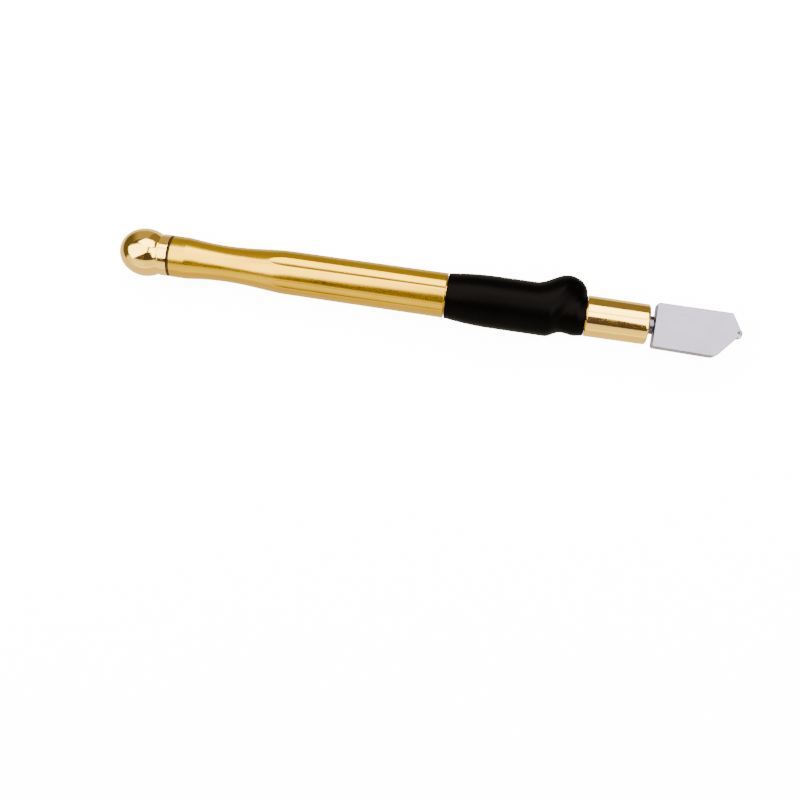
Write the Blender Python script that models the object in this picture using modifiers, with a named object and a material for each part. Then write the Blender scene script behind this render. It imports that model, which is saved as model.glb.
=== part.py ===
"""Pencil-grip, oil-fed glass cutter with a screw-on ball cap and a swivelling wheel head.

The tool lies on its side. +X runs from the ball cap to the cutting wheel, +Y points to
the finger hump of the grip, and +Z is square to the flat head. Stations along the tool
are millimetres from the rear of the ball, and radii are measured from the tool's axis.
"""

import math

import bmesh
import bpy

MM = 0.001

# Whole tool
LENGTH = 180.0
GRIP_RADIUS = 7.5
HUMP_TOP = 10.7
AXIS_Y = -(HUMP_TOP - GRIP_RADIUS) / 2
AXIS_Z = GRIP_RADIUS

# Roundness of the facets
LARGE_STEPS = 36
MEDIUM_STEPS = 24
SMALL_STEPS = 16
TINY_STEPS = 12

# Gaps between pieces that touch on the real tool
GAP = 0.3
FINE_GAP = 0.1

# Ball cap
BALL_HALF_LENGTH = 7.7
BALL_RADIUS = 6.93
NECK_GROOVE_RADIUS = 5.6
NECK_START = 12.6
NECK_RADIUS = 6.0
CAP_FACE = 15.1
THREAD_RADIUS = 4.0
THREAD_RELIEF_RADIUS = 3.6
THREAD_START = 16.4
SPIGOT_END = 21.6
CAP_SEAL_ORBIT = 5.3
CAP_SEAL_HALF_HEIGHT = 0.65

# Barrel
BARREL_REAR = 15.95
REAR_RADIUS = 6.0
WAIST_START = 20.4
WAIST_START_SLOPE = -0.1
BARREL_FRONT_RADIUS = 6.52
GRIP_START = 96.2
CORE_RADIUS = 4.8
CORE_END = 135.55
NOSE_THREAD_RADIUS = 3.9
BARREL_FRONT = 142.0
FILL_SOCKET_RADIUS = THREAD_RADIUS + GAP
FILL_SOCKET_END = SPIGOT_END + 1.3
RESERVOIR_RADIUS = 3.6
RESERVOIR_END = 128.0
THROAT_RADIUS = 1.5
THROAT_END = 129.5
VALVE_CHAMBER_RADIUS = 2.7

# Flutes milled along the barrel
FLUTE_COUNT = 6
FLUTE_FIRST_ANGLE = 20.0
FLUTE_CUTTER_RADIUS = 4.0
FLUTE_START = 44.6
FLUTE_START_RADIUS = 6.03
FLUTE_END_RADIUS = 6.25

# Grip sleeve
GRIP_END = 135.85
GRIP_REAR_RADIUS = 6.45
GRIP_SWELL_LENGTH = 13.7
GRIP_BORE_RADIUS = CORE_RADIUS + GAP
SADDLE_RADIUS = 5.81
FRONT_BEAD_RADIUS = 6.2
FRONT_BEAD = 133.3
FRONT_FALL = 0.9
HUMP_START = 120.9
HUMP_PEAK = 129.95
SHOULDER_END = 129.7
SHOULDER_LENGTH = 4.6
NOSE_END = 135.75

# Nose collar
COLLAR_REAR = 136.15
COLLAR_FRONT = 153.6
COLLAR_RADIUS = 5.85
COLLAR_FRONT_RADIUS = 5.74
COLLAR_BORE_RADIUS = NOSE_THREAD_RADIUS + GAP
WEB_RADIUS = 3.0
WEB_REAR = 145.5
WEB_FRONT = 146.3
SWIVEL_CHAMBER_RADIUS = 4.5
RING_GROOVE_RADIUS = 4.85
RING_GROOVE_REAR = 152.35
RING_GROOVE_FRONT = 153.15

# Valve
SEAT_REAR = 143.2
SEAT_FRONT = WEB_REAR - GAP
SEAT_ORIFICE_RADIUS = 1.0
SEAT_POCKET_RADIUS = 2.3
SEAT_POCKET_FRONT = 144.3
BALL_VALVE_RADIUS = 1.8
BALL_VALVE_STATION = 142.05
PUSH_PIN_RADIUS = 0.6
SPRING_RADIUS = 1.9
SPRING_WIRE_RADIUS = 0.3
SPRING_TURNS = 7
SPRING_POINTS_PER_TURN = 10

# Head stem and swivel
STEM_REAR = 146.9
FLANGE_REAR = 147.4
FLANGE_FRONT = 148.3
FLANGE_RADIUS = 3.9
STEM_RADIUS = 2.6
STEM_SHOULDER = 154.95
STEM_TIP_RADIUS = 1.6
STEM_FRONT = 160.4
OIL_BORE_RADIUS = 1.0
OIL_JET_RADIUS = 0.4
BUSH_REAR = FLANGE_FRONT + GAP
BUSH_FRONT = 152.1
BUSH_BORE_RADIUS = STEM_RADIUS + GAP
STEM_GROOVE_RADIUS = 1.9
STEM_SEAL_STATION = 150.6
STEM_SEAL_WIRE_RADIUS = 0.33
SWIVEL_LIMIT = 15.0
STOP_PIN_RADIUS = 0.4
STOP_PIN_ORBIT = 3.3
STOP_PIN_REAR = 147.6
STOP_PIN_FRONT = 150.1

# Head plate, axle and wheel
PLATE_REAR = 155.25
PLATE_THICKNESS = 5.8
PLATE_HALF_WIDTH = 6.3
PLATE_TIP = (179.45, 0.95)
PLATE_EDGE_BEVEL = 0.26
AXLE_STATION = 178.35
AXLE_OFFSET = 1.0
AXLE_RADIUS = 0.3
AXLE_HOLE_RADIUS = 0.4
WHEEL_RADIUS = LENGTH - AXLE_STATION
WHEEL_THICKNESS = 0.9
WHEEL_SLOT = WHEEL_THICKNESS + 2 * GAP
WHEEL_SLOT_RADIUS = WHEEL_RADIUS + 0.45
OIL_CHANNEL_RADIUS = 0.5
CUTTER_MARGIN = 2.0
WHEEL_EDGE_HEIGHT = 0.36


def clear_scene():
    for thing in list(bpy.data.objects):
        bpy.data.objects.remove(thing, do_unlink=True)


def new_collection(name):
    collection = bpy.data.collections.new(name)
    bpy.context.scene.collection.children.link(collection)
    return collection


clear_scene()
PARTS = new_collection("glass_cutter")
CUTTERS = new_collection("cutters")


# Materials

def material(name, colour, roughness, metallic):
    made = bpy.data.materials.new(name)
    made.use_nodes = True
    shader = made.node_tree.nodes["Principled BSDF"]
    shader.inputs["Base Color"].default_value = (*colour, 1.0)
    shader.inputs["Roughness"].default_value = roughness
    shader.inputs["Metallic"].default_value = metallic
    return made


def gold_anodised():
    return material("gold_anodised", (0.78, 0.56, 0.12), 0.18, 1.0)


def polished_brass(name):
    return material(name, (0.86, 0.70, 0.44), 0.1, 1.0)


def satin_steel():
    return material("satin_steel", (0.62, 0.61, 0.65), 0.4, 1.0)


def bright_steel(name):
    return material(name, (0.55, 0.55, 0.56), 0.2, 1.0)


def carbide():
    return material("carbide", (0.45, 0.45, 0.47), 0.25, 1.0)


def black_rubber():
    return material("black_rubber", (0.012, 0.011, 0.011), 0.45, 0.0)


def seal_rubber(name):
    return material(name, (0.03, 0.015, 0.01), 0.5, 0.0)


def felt():
    return material("felt", (0.75, 0.72, 0.62), 0.95, 0.0)


# Modelling helpers

def link(name, mesh, collection):
    made = bpy.data.objects.new(name, mesh)
    collection.objects.link(made)
    return made


def make_frame():
    frame = link("tool_frame", None, PARTS)
    frame.location = (-LENGTH / 2 * MM, AXIS_Y * MM, AXIS_Z * MM)
    return frame


def place(thing, station, parent, offset=0.0, height=0.0, turn=(0.0, 0.0, 0.0)):
    thing.parent = parent
    thing.location = (station * MM, offset * MM, height * MM)
    thing.rotation_euler = turn


def give(thing, finish):
    thing.data.materials.clear()
    thing.data.materials.append(finish)


def apply_modifiers(thing):
    """Swap the object's mesh for its evaluated one, shaded smooth up to its edges."""
    bpy.context.view_layer.update()
    evaluated = thing.evaluated_get(bpy.context.evaluated_depsgraph_get())
    mesh = bpy.data.meshes.new_from_object(evaluated)
    thing.modifiers.clear()
    thing.data = mesh
    mesh.shade_smooth()
    mesh.set_sharp_from_angle(angle=math.radians(32))


ALONG_TOOL = (0.0, math.pi / 2, 0.0)


def profile_mesh(name, outline, closed):
    """An outline of (station, radius) points, listed from the rear along the outside."""
    points = [(radius * MM, 0.0, station * MM) for station, radius in reversed(outline)]
    edges = [(i, i + 1) for i in range(len(points) - 1)]
    if closed:
        edges.append((len(points) - 1, 0))
    mesh = bpy.data.meshes.new(name)
    mesh.from_pydata(points, edges, [])
    return mesh


def turned(name, outline, parent, steps, origin, hollow=False, turn=ALONG_TOOL, collection=PARTS):
    """A turned piece whose own origin sits on its axis at the given station."""
    local = [(station - origin, radius) for station, radius in outline]
    thing = link(name, profile_mesh(name, local, hollow), collection)
    screw = thing.modifiers.new("turn", "SCREW")
    screw.steps = steps
    screw.render_steps = steps
    screw.use_merge_vertices = True
    screw.merge_threshold = 0.000001
    place(thing, origin, parent, turn=turn)
    return thing


def cut(thing, cutter):
    boolean = thing.modifiers.new("cut", "BOOLEAN")
    boolean.operation = "DIFFERENCE"
    boolean.object = cutter
    cutter.hide_render = True
    cutter.display_type = "WIRE"


def cylinder_cutter(name, radius, depth, steps):
    mesh = bpy.data.meshes.new(name)
    body = bmesh.new()
    bmesh.ops.create_cone(
        body, cap_ends=True, segments=steps, radius1=radius * MM, radius2=radius * MM, depth=depth * MM
    )
    body.to_mesh(mesh)
    body.free()
    return link(name, mesh, CUTTERS)


def extruded(name, outline, thickness, collection):
    """A flat closed outline of (x, y) points, extruded both ways into one welded mesh."""
    curve = bpy.data.curves.new(name, "CURVE")
    curve.dimensions = "2D"
    curve.fill_mode = "BOTH"
    curve.extrude = thickness / 2 * MM
    spline = curve.splines.new("POLY")
    spline.points.add(len(outline) - 1)
    for point, (x, y) in zip(spline.points, outline):
        point.co = (x * MM, y * MM, 0.0, 1.0)
    spline.use_cyclic_u = True
    guide = link(name + "_outline", curve, CUTTERS)
    bpy.context.view_layer.update()
    evaluated = guide.evaluated_get(bpy.context.evaluated_depsgraph_get())
    mesh = bpy.data.meshes.new_from_object(evaluated)
    body = bmesh.new()
    body.from_mesh(mesh)
    bmesh.ops.remove_doubles(body, verts=body.verts, dist=0.000001)
    body.to_mesh(mesh)
    body.free()
    thing = link(name, mesh, collection)
    thing.matrix_world = guide.matrix_world
    bpy.data.objects.remove(guide, do_unlink=True)
    return thing


def arc(centre, radius, start, end, count):
    """Points on an arc; centre, radius and the points are (x, y) and angles are degrees."""
    points = []
    for i in range(count + 1):
        angle = math.radians(start + (end - start) * i / count)
        points.append((centre[0] + radius * math.cos(angle), centre[1] + radius * math.sin(angle)))
    return points


def round_corners(corners, steps=4):
    """Turn (x, y, radius) corners into an outline whose corners are arcs."""
    outline = []
    count = len(corners)
    for i, (x, y, radius) in enumerate(corners):
        before = corners[i - 1]
        after = corners[(i + 1) % count]
        to_before = math.atan2(before[1] - y, before[0] - x)
        to_after = math.atan2(after[1] - y, after[0] - x)
        between = (to_after - to_before + math.pi) % (2 * math.pi) - math.pi
        if radius == 0.0:
            outline.append((x, y))
            continue
        half = between / 2
        middle = to_before + half
        reach = radius / abs(math.sin(half))
        centre = (x + reach * math.cos(middle), y + reach * math.sin(middle))
        sweep = math.copysign(math.pi - abs(between), -between)
        first = middle + math.pi - sweep / 2
        outline += arc(centre, radius, math.degrees(first), math.degrees(first + sweep), steps)
    return outline


def smoothstep(value):
    value = min(max(value, 0.0), 1.0)
    return value * value * (3 - 2 * value)


def through_knots(knots, first_slope, step):
    """A smooth curve through (station, radius) knots, sampled about every step."""
    slopes = []
    for i in range(len(knots)):
        behind = knots[max(i - 1, 0)]
        ahead = knots[min(i + 1, len(knots) - 1)]
        slopes.append((ahead[1] - behind[1]) / (ahead[0] - behind[0]))
    slopes[0] = first_slope
    points = []
    for i in range(len(knots) - 1):
        (s0, r0), (s1, r1) = knots[i], knots[i + 1]
        length = s1 - s0
        count = max(1, round(length / step))
        for j in range(count):
            t = j / count
            rise = (2 * t**3 - 3 * t**2 + 1) * r0 + (3 * t**2 - 2 * t**3) * r1
            bend = (t**3 - 2 * t**2 + t) * slopes[i] + (t**3 - t**2) * slopes[i + 1]
            points.append((s0 + t * length, rise + bend * length))
    points.append(knots[-1])
    return points


# Ball cap and filler

def ball_cap(frame):
    neck_angle = math.degrees(math.asin(NECK_GROOVE_RADIUS / BALL_RADIUS))
    round_part = arc((0.0, 0.0), 1.0, 180.0, neck_angle, 15)
    outline = [
        (BALL_HALF_LENGTH * (1 + x), max(0.0, BALL_RADIUS * y)) for x, y in round_part
    ]
    outline[0] = (0.0, 0.0)
    outline += [
        (NECK_START - FINE_GAP, NECK_GROOVE_RADIUS),
        (NECK_START, NECK_RADIUS - 0.15),
        (NECK_START + 0.2, NECK_RADIUS),
        (CAP_FACE - 0.2, NECK_RADIUS),
        (CAP_FACE, NECK_RADIUS - 0.2),
        (CAP_FACE, THREAD_RELIEF_RADIUS),
        (THREAD_START, THREAD_RELIEF_RADIUS),
        (THREAD_START + 0.4, THREAD_RADIUS),
        (SPIGOT_END - 0.5, THREAD_RADIUS),
        (SPIGOT_END, THREAD_RADIUS - 0.5),
        (SPIGOT_END, 0.0),
    ]
    cap = turned("ball_cap", outline, frame, LARGE_STEPS, CAP_FACE)
    apply_modifiers(cap)
    give(cap, polished_brass("cap_brass"))


def ring_outline(station, orbit, half_width, half_height, count=7):
    return [
        (station + half_width * x, orbit + half_height * y)
        for x, y in arc((0.0, 0.0), 1.0, 180.0, -180.0, count)[:-1]
    ]


def cap_o_ring(frame):
    half_gap = (BARREL_REAR - CAP_FACE) / 2
    station = CAP_FACE + half_gap
    outline = ring_outline(station, CAP_SEAL_ORBIT, half_gap - FINE_GAP, CAP_SEAL_HALF_HEIGHT)
    ring = turned("cap_o_ring", outline, frame, LARGE_STEPS, station, hollow=True)
    apply_modifiers(ring)
    give(ring, seal_rubber("cap_seal_rubber"))


# Barrel

def barrel_curve():
    knots = [
        (WAIST_START, REAR_RADIUS),
        (25.3, 5.48),
        (31.5, 5.2),
        (38.0, 5.43),
        (43.8, 5.93),
        (48.5, 6.36),
        (54.0, 6.43),
        (GRIP_START - GAP - 0.2, BARREL_FRONT_RADIUS),
    ]
    curve = through_knots(knots[:-1], WAIST_START_SLOPE, 2.4)
    return curve + [knots[-1]]


def flute_cutters(frame):
    """Six round cutters, each leaning with the barrel's slow taper."""
    length = GRIP_START - FLUTE_START
    lean = math.atan2(FLUTE_END_RADIUS - FLUTE_START_RADIUS, length)
    reach = (FLUTE_START_RADIUS + FLUTE_END_RADIUS) / 2 + FLUTE_CUTTER_RADIUS
    cutters = []
    for i in range(FLUTE_COUNT):
        angle = math.radians(FLUTE_FIRST_ANGLE + i * 360.0 / FLUTE_COUNT)
        cutter = cylinder_cutter("flute_cutter_%d" % (i + 1), FLUTE_CUTTER_RADIUS, length + 8, LARGE_STEPS)
        pivot = link("flute_pivot_%d" % (i + 1), None, CUTTERS)
        place(pivot, 0.0, frame, turn=(-angle, 0.0, 0.0))
        place(cutter, (FLUTE_START + GRIP_START) / 2, pivot, height=reach, turn=(0.0, math.pi / 2 - lean, 0.0))
        cutters.append(cutter)
    return cutters


def barrel(frame):
    outline = [
        (BARREL_REAR, REAR_RADIUS - 0.25),
        (BARREL_REAR + 0.2, REAR_RADIUS),
    ]
    outline += barrel_curve()
    outline += [
        (GRIP_START - GAP, BARREL_FRONT_RADIUS - 0.2),
        (GRIP_START - GAP, CORE_RADIUS),
        (CORE_END, CORE_RADIUS),
        (CORE_END, NOSE_THREAD_RADIUS),
        (BARREL_FRONT - 0.4, NOSE_THREAD_RADIUS),
        (BARREL_FRONT, NOSE_THREAD_RADIUS - 0.4),
        (BARREL_FRONT, VALVE_CHAMBER_RADIUS),
        (THROAT_END, VALVE_CHAMBER_RADIUS),
        (THROAT_END, THROAT_RADIUS),
        (RESERVOIR_END, THROAT_RADIUS),
        (RESERVOIR_END, RESERVOIR_RADIUS),
        (FILL_SOCKET_END, RESERVOIR_RADIUS),
        (FILL_SOCKET_END, FILL_SOCKET_RADIUS),
        (BARREL_REAR, FILL_SOCKET_RADIUS),
    ]
    body = turned("barrel", outline, frame, LARGE_STEPS, BARREL_REAR, hollow=True)
    for cutter in flute_cutters(frame):
        cut(body, cutter)
    apply_modifiers(body)
    give(body, gold_anodised())


# Grip sleeve: a sleeve with a finger hump whose front folds over a slimmer neck

GRIP_COLUMNS = 36
SWELL_RINGS = 6
HUMP_RINGS = 8
FOLD_RINGS = 7
NECK_RINGS = 5


def fold_reach(up):
    """How far the fold's front has moved from the shoulder's end to the nose, 0 to 1."""
    return max(0.0, (up + 0.5) / 1.5) ** 1.6


def neck_radius(station):
    rise = smoothstep((station - SHOULDER_END) / (FRONT_BEAD - SHOULDER_END))
    fall = smoothstep((station - FRONT_BEAD) / (GRIP_END - FRONT_BEAD))
    return SADDLE_RADIUS + (FRONT_BEAD_RADIUS - SADDLE_RADIUS) * (rise - fall * FRONT_FALL)


def sleeve_radius(station, up):
    unswollen = max(0.0, 1 - (station - GRIP_START) / GRIP_SWELL_LENGTH) ** 2
    hump = smoothstep((station - HUMP_START) / (HUMP_PEAK - HUMP_START))
    body = GRIP_RADIUS - (GRIP_RADIUS - GRIP_REAR_RADIUS) * unswollen
    return body + (HUMP_TOP - GRIP_RADIUS) * hump * max(0.0, up) ** 2.3


def grip_column(angle):
    """The outer surface's (station, radius) points along the sleeve at one angle."""
    up = math.cos(angle)
    reach = fold_reach(up)
    fold_end = SHOULDER_END + (NOSE_END - SHOULDER_END) * reach
    fold_length = SHOULDER_LENGTH + (NOSE_END - HUMP_PEAK - SHOULDER_LENGTH) * reach
    fold_start = fold_end - fold_length
    points = [(GRIP_START, GRIP_REAR_RADIUS - 0.55)]
    edge = GRIP_START + 0.3
    for i in range(SWELL_RINGS):
        station = edge + (HUMP_START - edge) * i / SWELL_RINGS
        points.append((station, sleeve_radius(station, up)))
    for i in range(HUMP_RINGS):
        station = HUMP_START + (fold_start - HUMP_START) * i / HUMP_RINGS
        points.append((station, sleeve_radius(station, up)))
    top = sleeve_radius(fold_start, up)
    base = neck_radius(fold_end)
    for i in range(FOLD_RINGS + 1):
        turn = math.pi / 2 * i / FOLD_RINGS
        along = math.sin(turn)
        slope = 1 - smoothstep(along)
        height = slope + (math.cos(turn) - slope) * reach**2
        points.append((fold_start + fold_length * along, base + (top - base) * height))
    for i in range(1, NECK_RINGS + 1):
        station = fold_end + (GRIP_END - fold_end) * i / NECK_RINGS
        points.append((station, neck_radius(station)))
    return points


def grip_sleeve(frame):
    columns = []
    for i in range(GRIP_COLUMNS):
        angle = 2 * math.pi * i / GRIP_COLUMNS
        outer = grip_column(angle)
        bore = [(GRIP_END, GRIP_BORE_RADIUS), (GRIP_START, GRIP_BORE_RADIUS)]
        columns.append((angle, outer + bore))
    mesh = bpy.data.meshes.new("grip_sleeve")
    body = bmesh.new()
    grid = []
    for angle, points in columns:
        column = []
        for station, radius in points:
            place_y = radius * math.cos(angle) * MM
            place_z = radius * math.sin(angle) * MM
            column.append(body.verts.new(((station - GRIP_START) * MM, place_y, place_z)))
        grid.append(column)
    rings = len(grid[0])
    for i in range(GRIP_COLUMNS):
        here, there = grid[i], grid[(i + 1) % GRIP_COLUMNS]
        for j in range(rings):
            k = (j + 1) % rings
            body.faces.new((here[j], here[k], there[k], there[j]))
    bmesh.ops.recalc_face_normals(body, faces=body.faces)
    body.to_mesh(mesh)
    body.free()
    sleeve = link("grip_sleeve", mesh, PARTS)
    place(sleeve, GRIP_START, frame)
    apply_modifiers(sleeve)
    give(sleeve, black_rubber())


# Nose collar and valve

def nose_collar(frame):
    outline = [
        (COLLAR_REAR, COLLAR_RADIUS - 0.2),
        (COLLAR_REAR + 0.2, COLLAR_RADIUS),
        (COLLAR_FRONT - 0.5, COLLAR_FRONT_RADIUS),
        (COLLAR_FRONT, COLLAR_FRONT_RADIUS - 0.5),
        (COLLAR_FRONT, SWIVEL_CHAMBER_RADIUS),
        (RING_GROOVE_FRONT, SWIVEL_CHAMBER_RADIUS),
        (RING_GROOVE_FRONT, RING_GROOVE_RADIUS),
        (RING_GROOVE_REAR, RING_GROOVE_RADIUS),
        (RING_GROOVE_REAR, SWIVEL_CHAMBER_RADIUS),
        (WEB_FRONT, SWIVEL_CHAMBER_RADIUS),
        (WEB_FRONT, WEB_RADIUS),
        (WEB_REAR, WEB_RADIUS),
        (WEB_REAR, COLLAR_BORE_RADIUS),
        (COLLAR_REAR, COLLAR_BORE_RADIUS),
    ]
    collar = turned("nose_collar", outline, frame, LARGE_STEPS, COLLAR_REAR, hollow=True)
    apply_modifiers(collar)
    give(collar, polished_brass("collar_brass"))


def tube_outline(rear, front, outer, inner):
    return [(rear, outer), (front, outer), (front, inner), (rear, inner)]


def seat_gasket(frame):
    rear = BARREL_FRONT + GAP
    outline = tube_outline(rear, SEAT_REAR - GAP, NOSE_THREAD_RADIUS, VALVE_CHAMBER_RADIUS + FINE_GAP)
    gasket = turned("seat_gasket", outline, frame, MEDIUM_STEPS, rear, hollow=True)
    apply_modifiers(gasket)
    give(gasket, seal_rubber("gasket_rubber"))


def valve_seat(frame):
    outline = [
        (SEAT_REAR, NOSE_THREAD_RADIUS),
        (SEAT_FRONT, NOSE_THREAD_RADIUS),
        (SEAT_FRONT, SEAT_ORIFICE_RADIUS),
        (SEAT_POCKET_FRONT, SEAT_ORIFICE_RADIUS),
        (SEAT_POCKET_FRONT, SEAT_POCKET_RADIUS),
        (SEAT_REAR, SEAT_POCKET_RADIUS),
    ]
    seat = turned("valve_seat", outline, frame, MEDIUM_STEPS, SEAT_REAR, hollow=True)
    apply_modifiers(seat)
    give(seat, polished_brass("seat_brass"))


def seat_o_ring(frame):
    wire = 0.42
    station = SEAT_POCKET_FRONT - FINE_GAP - wire
    outline = ring_outline(station, SEAT_POCKET_RADIUS - FINE_GAP - wire, wire, wire)
    ring = turned("seat_o_ring", outline, frame, MEDIUM_STEPS, station, hollow=True)
    apply_modifiers(ring)
    give(ring, seal_rubber("seat_seal_rubber"))


def check_ball(frame):
    mesh = bpy.data.meshes.new("check_ball")
    body = bmesh.new()
    bmesh.ops.create_uvsphere(body, u_segments=16, v_segments=10, radius=BALL_VALVE_RADIUS * MM)
    body.to_mesh(mesh)
    body.free()
    ball = link("check_ball", mesh, PARTS)
    place(ball, BALL_VALVE_STATION, frame)
    apply_modifiers(ball)
    give(ball, bright_steel("ball_steel"))


def push_pin(frame):
    rear = BALL_VALVE_STATION + BALL_VALVE_RADIUS + FINE_GAP
    front = STEM_REAR - FINE_GAP
    outline = [
        (rear, 0.0),
        (rear, PUSH_PIN_RADIUS - 0.15),
        (rear + 0.15, PUSH_PIN_RADIUS),
        (front - 0.5, PUSH_PIN_RADIUS),
        (front - 0.5, 2 * PUSH_PIN_RADIUS),
        (front, 2 * PUSH_PIN_RADIUS),
        (front, 0.0),
    ]
    pin = turned("push_pin", outline, frame, SMALL_STEPS, rear)
    apply_modifiers(pin)
    give(pin, bright_steel("pin_steel"))


def valve_spring(frame):
    """A coil between the barrel's throat and the check ball."""
    rear = THROAT_END + GAP + SPRING_WIRE_RADIUS
    reach = BALL_VALVE_RADIUS + SPRING_WIRE_RADIUS + GAP / 2
    front = BALL_VALVE_STATION - math.sqrt(reach**2 - SPRING_RADIUS**2)
    curve = bpy.data.curves.new("valve_spring", "CURVE")
    curve.dimensions = "3D"
    curve.bevel_depth = SPRING_WIRE_RADIUS * MM
    curve.bevel_resolution = 2
    curve.use_fill_caps = True
    spline = curve.splines.new("POLY")
    count = SPRING_TURNS * SPRING_POINTS_PER_TURN
    spline.points.add(count)
    for i, point in enumerate(spline.points):
        angle = 2 * math.pi * i / SPRING_POINTS_PER_TURN
        along = (front - rear) * i / count * MM
        point.co = (along, SPRING_RADIUS * math.cos(angle) * MM, SPRING_RADIUS * math.sin(angle) * MM, 1.0)
    spring = link("valve_spring", curve, PARTS)
    place(spring, rear, frame)
    spring.data.materials.append(bright_steel("spring_steel"))


# Swivel bush and the head's stem

def swivel_bush(frame):
    outer = SWIVEL_CHAMBER_RADIUS - GAP
    outline = tube_outline(BUSH_REAR, BUSH_FRONT, outer, BUSH_BORE_RADIUS)
    bush = turned("swivel_bush", outline, frame, LARGE_STEPS, BUSH_REAR, hollow=True)
    half = SWIVEL_LIMIT + math.degrees(math.asin(STOP_PIN_RADIUS / STOP_PIN_ORBIT)) + 2.0
    inner_edge = BUSH_BORE_RADIUS - GAP
    outer_edge = STOP_PIN_ORBIT + STOP_PIN_RADIUS + 0.15
    fan = arc((0.0, 0.0), outer_edge, -90.0 - half, -90.0 + half, 8)
    fan += arc((0.0, 0.0), inner_edge, -90.0 + half, -90.0 - half, 4)
    depth = 2 * (STOP_PIN_FRONT + GAP - BUSH_REAR)
    notch = extruded("swivel_notch", fan, depth, CUTTERS)
    place(notch, BUSH_REAR, frame, turn=(math.pi / 2, 0.0, math.pi / 2))
    cut(bush, notch)
    apply_modifiers(bush)
    give(bush, polished_brass("bush_brass"))


def bush_snap_ring(frame):
    outline = tube_outline(RING_GROOVE_REAR + 0.15, RING_GROOVE_FRONT - 0.15, 4.7, 3.6)
    ring = turned("bush_snap_ring", outline, frame, MEDIUM_STEPS, outline[0][0], hollow=True)
    opening = cylinder_cutter("snap_ring_opening", 0.7, 4.0, SMALL_STEPS)
    place(opening, outline[0][0], frame, offset=4.15, turn=ALONG_TOOL)
    cut(ring, opening)
    apply_modifiers(ring)
    give(ring, bright_steel("ring_steel"))


def head_stem(frame):
    groove = STEM_SEAL_WIRE_RADIUS + 0.2
    outline = [
        (STEM_REAR, 1.4),
        (FLANGE_REAR, 1.4),
        (FLANGE_REAR, FLANGE_RADIUS),
        (FLANGE_FRONT, FLANGE_RADIUS),
        (FLANGE_FRONT, STEM_RADIUS),
        (STEM_SEAL_STATION - groove, STEM_RADIUS),
        (STEM_SEAL_STATION - groove, STEM_GROOVE_RADIUS),
        (STEM_SEAL_STATION + groove, STEM_GROOVE_RADIUS),
        (STEM_SEAL_STATION + groove, STEM_RADIUS),
        (STEM_SHOULDER, STEM_RADIUS),
        (STEM_SHOULDER, STEM_TIP_RADIUS),
        (STEM_FRONT, STEM_TIP_RADIUS),
        (STEM_FRONT, OIL_BORE_RADIUS),
        (FLANGE_FRONT + 0.6, OIL_BORE_RADIUS),
        (FLANGE_FRONT, OIL_JET_RADIUS),
        (STEM_REAR, OIL_JET_RADIUS),
    ]
    stem = turned("head_stem", outline, frame, MEDIUM_STEPS, STEM_REAR, hollow=True)
    hole = cylinder_cutter("stop_pin_hole", STOP_PIN_RADIUS + FINE_GAP, 4.0, SMALL_STEPS)
    place(hole, FLANGE_FRONT, frame, height=-STOP_PIN_ORBIT, turn=ALONG_TOOL)
    cut(stem, hole)
    apply_modifiers(stem)
    give(stem, bright_steel("stem_steel"))


def stem_o_ring(frame):
    orbit = STEM_GROOVE_RADIUS + STEM_SEAL_WIRE_RADIUS + FINE_GAP
    outline = ring_outline(STEM_SEAL_STATION, orbit, STEM_SEAL_WIRE_RADIUS, STEM_SEAL_WIRE_RADIUS)
    ring = turned("stem_o_ring", outline, frame, MEDIUM_STEPS, STEM_SEAL_STATION, hollow=True)
    apply_modifiers(ring)
    give(ring, seal_rubber("stem_seal_rubber"))


def stop_pin(frame):
    outline = [
        (STOP_PIN_REAR, 0.0),
        (STOP_PIN_REAR, STOP_PIN_RADIUS),
        (STOP_PIN_FRONT - 0.15, STOP_PIN_RADIUS),
        (STOP_PIN_FRONT, STOP_PIN_RADIUS - 0.15),
        (STOP_PIN_FRONT, 0.0),
    ]
    pin = turned("stop_pin", outline, frame, TINY_STEPS, STOP_PIN_REAR)
    place(pin, STOP_PIN_REAR, frame, height=-STOP_PIN_ORBIT, turn=ALONG_TOOL)
    apply_modifiers(pin)
    give(pin, bright_steel("stop_pin_steel"))


def oil_wick(frame):
    rear = FLANGE_FRONT + 1.0
    front = STEM_FRONT - 0.4
    radius = OIL_BORE_RADIUS - GAP
    outline = [(rear, 0.0), (rear, radius), (front, radius), (front, 0.0)]
    wick = turned("oil_wick", outline, frame, SMALL_STEPS, rear)
    apply_modifiers(wick)
    give(wick, felt())


# Head plate, axle and wheel

def plate_outline():
    half = PLATE_HALF_WIDTH
    tip_s, tip_y = PLATE_TIP
    corners = [
        (PLATE_REAR, -half, 0.5),
        (172.95, -half - 0.3, 1.2),
        (tip_s, tip_y, 1.05),
        (176.15, half, 0.4),
        (PLATE_REAR, half, 0.7),
    ]
    return round_corners(corners)


def plate_cutters(frame):
    thick = PLATE_THICKNESS + 2 * CUTTER_MARGIN
    axle_hole = cylinder_cutter("axle_hole", AXLE_HOLE_RADIUS, thick, SMALL_STEPS)
    place(axle_hole, AXLE_STATION, frame, offset=AXLE_OFFSET)
    slot = cylinder_cutter("wheel_slot", WHEEL_SLOT_RADIUS, WHEEL_SLOT, MEDIUM_STEPS)
    place(slot, AXLE_STATION, frame, offset=AXLE_OFFSET)
    socket_end = STEM_FRONT + 0.4
    socket_depth = socket_end - PLATE_REAR + CUTTER_MARGIN
    socket = cylinder_cutter("stem_socket", STEM_TIP_RADIUS + GAP, socket_depth, MEDIUM_STEPS)
    place(socket, socket_end - socket_depth / 2, frame, turn=ALONG_TOOL)
    channel_end = AXLE_STATION - WHEEL_RADIUS
    channel = cylinder_cutter("oil_channel", OIL_CHANNEL_RADIUS, channel_end - socket_end + 2, SMALL_STEPS)
    place(channel, (socket_end + channel_end) / 2, frame, turn=ALONG_TOOL)
    return [socket, slot, channel, axle_hole]


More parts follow.
